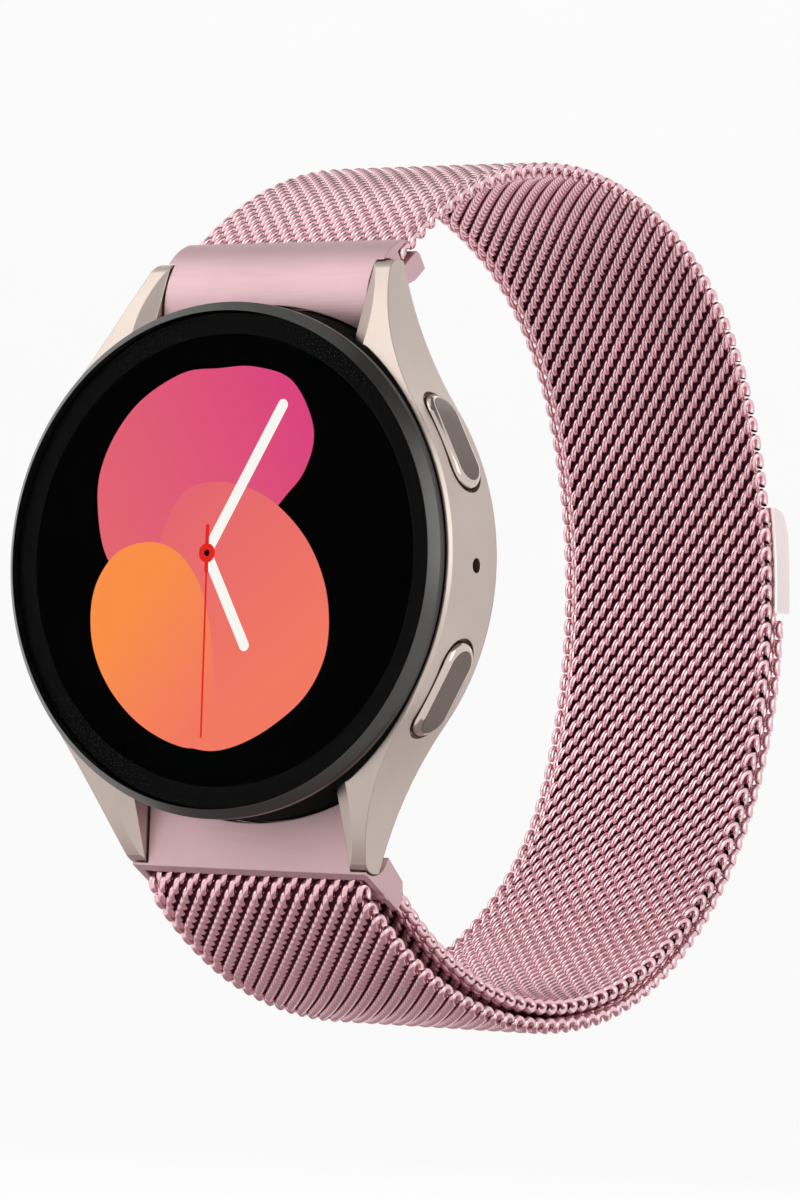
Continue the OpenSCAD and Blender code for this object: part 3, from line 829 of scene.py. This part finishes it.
def tab_outline(inset):
    """The tab's cross-section: follows the band below it, with a round nose at the top."""
    steps = 28
    low = TAB_FROM + inset / tab_inner_r
    high = TAB_TO - inset / tab_inner_r
    base = tab_inner_r + inset
    thickness = TAB_T - 2 * inset
    angles = [low + (high - low) * k / steps for k in range(steps + 1)]
    points = [tab_centre + base * Vector((math.cos(a), math.sin(a))) for a in angles]
    for a in reversed(angles):
        into_nose = max(0.0, a - (high - TAB_NOSE)) / TAB_NOSE
        reach = base + TAB_LIP + (thickness - TAB_LIP) * math.sqrt(max(0.0, 1 - into_nose ** 2))
        points.append(tab_centre + reach * Vector((math.cos(a), math.sin(a))))
    return points


def rounded_block(name, outline, half_w, edge, material, body, steps=6):
    """An outline pulled along X, with both side edges rounded by shrinking the outline."""
    sections = []
    for k in range(steps + 1):
        angle = math.pi / 2 * k / steps
        sections.append((-half_w + edge * (1 - math.sin(angle)), edge * (1 - math.cos(angle))))
    sections = [(x, inset) for x, inset in reversed(sections)]
    sections += [(-x, inset) for x, inset in reversed(sections)]
    rows = [[(x, *p) for p in outline(inset)] for x, inset in sections]
    count = len(rows[0])
    points = [point for row in rows for point in row]
    faces = [list(range(count)), [len(points) - 1 - k for k in range(count)]]
    for r in range(len(rows) - 1):
        for k in range(count):
            here, after = r * count + k, r * count + (k + 1) % count
            faces.append([after, here, here + count, after + count])
    block = mesh_object(name, points, faces, material, body)
    edges_by_angle(block)
    return block


_, tab_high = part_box("tab_shell")
TAB_HALF_W = tab_high.x
tab = rounded_block(
    "magnet_tab", tab_outline, TAB_HALF_W, TAB_EDGE, MATERIALS["tab_metal"], "tail_upper",
)
# Painted shade: the tab's outer face is coloured a dark wine.
tab.data.materials.append(metal("tab_outer_painted_shade", (0.30, 0.12, 0.16), 0.2, grain=(0.1, 4, 4)))
for polygon in tab.data.polygons:
    if (polygon.center.yz - tab_centre).length > tab_outer_r - TAB_SHADE_DEPTH:
        polygon.material_index = 1
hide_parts("tab_shell", "tab_cover")

# ---------- buttons ----------

BUTTON_RIM = 0.5 * MM
BUTTON_ANGLE = math.radians(28)
RIM_STEPS = 6
FACE_SHARES = (0.1, 0.35, 0.65, 0.98)
STEM_SIDES = 24
STEM_MARGIN = 0.1 * MM
# The rim is polished, and its colour, lighter than the button metal, is a painted highlight.
polished_highlight_rim = metal("polished_highlight_rim", (0.62, 0.52, 0.47), 0.12, grain=(0.2, 1, 1))


def pill_outline(half_l, half_w, steps=16):
    """A bar with round ends in (along, across) coordinates."""
    reach = half_l - half_w
    result = []
    for centre, start in ((reach, -math.pi / 2), (-reach, math.pi / 2)):
        for k in range(steps + 1):
            angle = start + math.pi * k / steps
            result.append((centre + half_w * math.cos(angle), half_w * math.sin(angle)))
    return result


def button_cap(name, node, angle):
    """A button whose brushed face follows the case, with a polished rounded rim around it,
    coloured much lighter than the face as a painted highlight.
    """
    low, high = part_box(node)
    radial = Vector((math.cos(angle), 0, math.sin(angle)))
    tangent = Vector((-math.sin(angle), 0, math.cos(angle)))
    points = [nodes[node].matrix_world @ vertex.co for vertex in nodes[node].data.vertices]
    half_l = max(abs(p.dot(tangent)) for p in points)
    top_r = max(math.hypot(p.x, p.z) for p in points)
    middle_y = (low.y + high.y) / 2
    half_w = (high.y - low.y) / 2
    floor_r = min(p.dot(radial) for p in points if abs(p.y - middle_y) > half_w * 0.6)
    stem_points = [p for p in points if p.dot(radial) < floor_r - STEM_MARGIN]
    stem_r = max(math.hypot(p.dot(tangent), p.y - middle_y) for p in stem_points)
    stem_end = min(p.dot(radial) for p in stem_points)
    rings = [(0.0, None)]
    for k in range(RIM_STEPS + 1):
        roll = math.pi / 2 * k / RIM_STEPS
        rings.append((BUTTON_RIM * (1 - math.cos(roll)), BUTTON_RIM * (1 - math.sin(roll))))
    rings += [(BUTTON_RIM + (half_w - BUTTON_RIM) * share, 0.0) for share in FACE_SHARES]
    verts = []
    faces = []
    for inset, drop in rings:
        for along, across in pill_outline(half_l - inset, half_w - inset):
            reach = floor_r if drop is None else math.sqrt(top_r ** 2 - along ** 2) - drop
            verts.append(radial * reach + tangent * along + Vector((0, middle_y + across, 0)))
    count = len(verts) // len(rings)
    for row in range(len(rings) - 1):
        for k in range(count):
            here, after = row * count + k, row * count + (k + 1) % count
            faces.append([here, after, after + count, here + count])
    faces.append([(len(rings) - 1) * count + k for k in range(count)])
    faces.append(list(reversed(range(count))))
    stem_start = len(verts)
    for reach in (stem_end, floor_r):
        for k in range(STEM_SIDES):
            turn = TURN * k / STEM_SIDES
            across = Vector((0, middle_y + stem_r * math.cos(turn), 0))
            verts.append(radial * reach + tangent * (stem_r * math.sin(turn)) + across)
    for k in range(STEM_SIDES):
        here, after = stem_start + k, stem_start + (k + 1) % STEM_SIDES
        faces.append([here, after, after + STEM_SIDES, here + STEM_SIDES])
    faces.append([stem_start + k for k in reversed(range(STEM_SIDES))])
    faces.append([stem_start + STEM_SIDES + k for k in range(STEM_SIDES)])
    cap = mesh_object(name, verts, faces, MATERIALS["button_metal"], node)
    edges_by_angle(cap, math.radians(50))
    cap.data.materials.append(polished_highlight_rim)
    for polygon in cap.data.polygons[:count * (RIM_STEPS + 1)]:
        polygon.material_index = 1
    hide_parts(node)


button_cap("upper_button_cap", "upper_button", BUTTON_ANGLE)
button_cap("lower_button_cap", "lower_button", -BUTTON_ANGLE)

# ---------- springs inside the spring bars ----------

SPRING_TURNS = 9
SPRING_WIRE_R = 0.09 * MM


def bar_spring(name, node, pin):
    """A coil spring that fills the bar from its blind end to the release pin."""
    spring_low, spring_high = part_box(node)
    pin_low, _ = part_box(pin)
    start, end = spring_low.x, pin_low.x
    radius = (spring_high.z - spring_low.z) / 2 - SPRING_WIRE_R
    middle = (spring_low + spring_high) / 2
    share = np.linspace(0, 1, SPRING_TURNS * 20 + 1)
    turn = TURN * SPRING_TURNS * share
    centres = np.zeros((1, len(share), 3))
    centres[0, :, 0] = start + (end - start) * share
    centres[0, :, 1] = middle.y + radius * np.cos(turn)
    centres[0, :, 2] = middle.z + radius * np.sin(turn)
    outward = np.zeros_like(centres)
    outward[0, :, 1] = np.cos(turn)
    outward[0, :, 2] = np.sin(turn)
    spring = tube_mesh(name, centres, outward, SPRING_WIRE_R, 8, MATERIALS["plain_steel"])
    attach(spring, "watch")
    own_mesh(spring)
    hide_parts(node)


bar_spring("upper_coil_spring", "upper_bar_spring", "upper_release_pin")
bar_spring("lower_coil_spring", "lower_bar_spring", "lower_release_pin")

# ---------- studio ----------

FLOOR_DROP = 0.09
FLOOR_R = 1.6
WALL_R = 2.4
WALL_TOP = 2.6
PALE = 0.30
BACKDROP_GLOW = 0.73
CARD_HALF = 0.06
CARD_DROP = 0.035


def pale_backdrop():
    """One seamless pale dish: a flat floor that curves up into a wall all round."""
    material, tree, shader = new_material("pale_paper")
    grain = noise(tree, object_coords(tree), 0.02, detail=4)
    shader.inputs["Roughness"].default_value = 0.9
    shader.inputs["Specular IOR Level"].default_value = 0.0
    shader.inputs["Emission Color"].default_value = (1.0, 1.0, 1.0, 1)
    shader.inputs["Emission Strength"].default_value = BACKDROP_GLOW
    tree.links.new(tinted(tree, grain, (PALE, PALE, PALE), 0.01), shader.inputs["Base Color"])
    floor_z = loaded_low.z - FLOOR_DROP
    profile = [(0.0, floor_z), (FLOOR_R, floor_z)]
    bend = WALL_R - FLOOR_R
    for k in range(1, 13):
        angle = math.pi / 2 * k / 12
        profile.append((FLOOR_R + bend * math.sin(angle), floor_z + bend * (1 - math.cos(angle))))
    profile.append((WALL_R, WALL_TOP))
    steps = 96
    points = [(0, 0, floor_z)]
    faces = []
    for radius, z in profile[1:]:
        for k in range(steps):
            points.append((
                radius * math.cos(TURN * k / steps), radius * math.sin(TURN * k / steps), z,
            ))
    for k in range(steps):
        faces.append([0, 1 + k, 1 + (k + 1) % steps])
    for row in range(len(profile) - 2):
        for k in range(steps):
            here, after = 1 + row * steps + k, 1 + row * steps + (k + 1) % steps
            faces.append([here, here + steps, after + steps, after])
    return mesh_object("studio_floor", points, faces, material, None)


def under_card():
    """A rose grey card below the picture, which the underside of the band mirrors."""
    material, tree, shader = new_material("card_felt")
    fibres = noise(tree, object_coords(tree), 1.5, detail=4)
    shader.inputs["Roughness"].default_value = 0.95
    tree.links.new(tinted(tree, fibres, CARD_ROSE, 0.05), shader.inputs["Base Color"])
    z = loaded_low.z - CARD_DROP
    corners = ((-1, -1), (1, -1), (1, 1), (-1, 1))
    points = [(middle.x + CARD_HALF * u, middle.y + CARD_HALF * v, z) for u, v in corners]
    card = mesh_object("under_card", points, [[0, 1, 2, 3]], material, None, smooth=False)
    card.visible_camera = False
    return card


def softbox(name, centre, target, width, height, power, colour=(1, 1, 1)):
    """A soft rectangular light that faces the target."""
    light = bpy.data.lights.new(name, "AREA")
    light.shape = "RECTANGLE"
    light.size = width
    light.size_y = height
    light.energy = power
    light.color = colour
    lamp = bpy.data.objects.new(name, light)
    bpy.context.scene.collection.objects.link(lamp)
    lamp.location = centre
    lamp.rotation_euler = (Vector(target) - Vector(centre)).to_track_quat("-Z", "Y").to_euler()
    lamp.visible_camera = False
    return lamp


middle = (loaded_low + loaded_high) / 2
lamps = [
    softbox("key_left", (-0.62, -0.6, 0.72), middle, 1.1, 1.1, 3.4),
    softbox("fill_right", (0.95, -0.35, 0.25), middle, 0.5, 0.9, 2.6),
    softbox("top_light", (-0.35, -0.1, 0.95), middle, 0.9, 0.9, 1.6),
    softbox("rear_light", (-0.3, 1.1, 0.5), middle, 0.8, 0.8, 1.5),
]
backdrop = pale_backdrop()
under_card()

world = bpy.data.worlds.new("studio_world")
world.use_nodes = True
world.node_tree.nodes["Background"].inputs["Color"].default_value = (0.9, 0.9, 0.9, 1)
world.node_tree.nodes["Background"].inputs["Strength"].default_value = 0.22
bpy.context.scene.world = world

# ---------- camera ----------

VIEW_AZIMUTH = math.radians(32.322)
VIEW_ELEVATION = math.radians(-2.431)
VIEW_ROLL = math.radians(2.335)
VIEW_DISTANCE = 490.96 * MM
AIM_RIGHT = -5.70 * MM
AIM_UP = -0.135 * MM
LENS_MM = 170.925

toward = Vector((
    -math.sin(VIEW_AZIMUTH) * math.cos(VIEW_ELEVATION),
    math.cos(VIEW_AZIMUTH) * math.cos(VIEW_ELEVATION),
    -math.sin(VIEW_ELEVATION),
))
level = Vector((math.cos(VIEW_AZIMUTH), math.sin(VIEW_AZIMUTH), 0))
upward = level.cross(toward)
right = math.cos(VIEW_ROLL) * level + math.sin(VIEW_ROLL) * upward
above = right.cross(toward)
aim = middle + right * AIM_RIGHT + above * AIM_UP

camera_data = bpy.data.cameras.new("camera")
camera_data.lens = LENS_MM
camera_data.clip_start = 0.05
camera_data.clip_end = 20
camera = bpy.data.objects.new("camera", camera_data)
bpy.context.scene.collection.objects.link(camera)
axes = Matrix((right, above, -toward)).transposed()
camera.matrix_world = Matrix.Translation(aim - toward * VIEW_DISTANCE) @ axes.to_4x4()
bpy.context.scene.camera = camera
bpy.context.scene.view_settings.view_transform = "Standard"
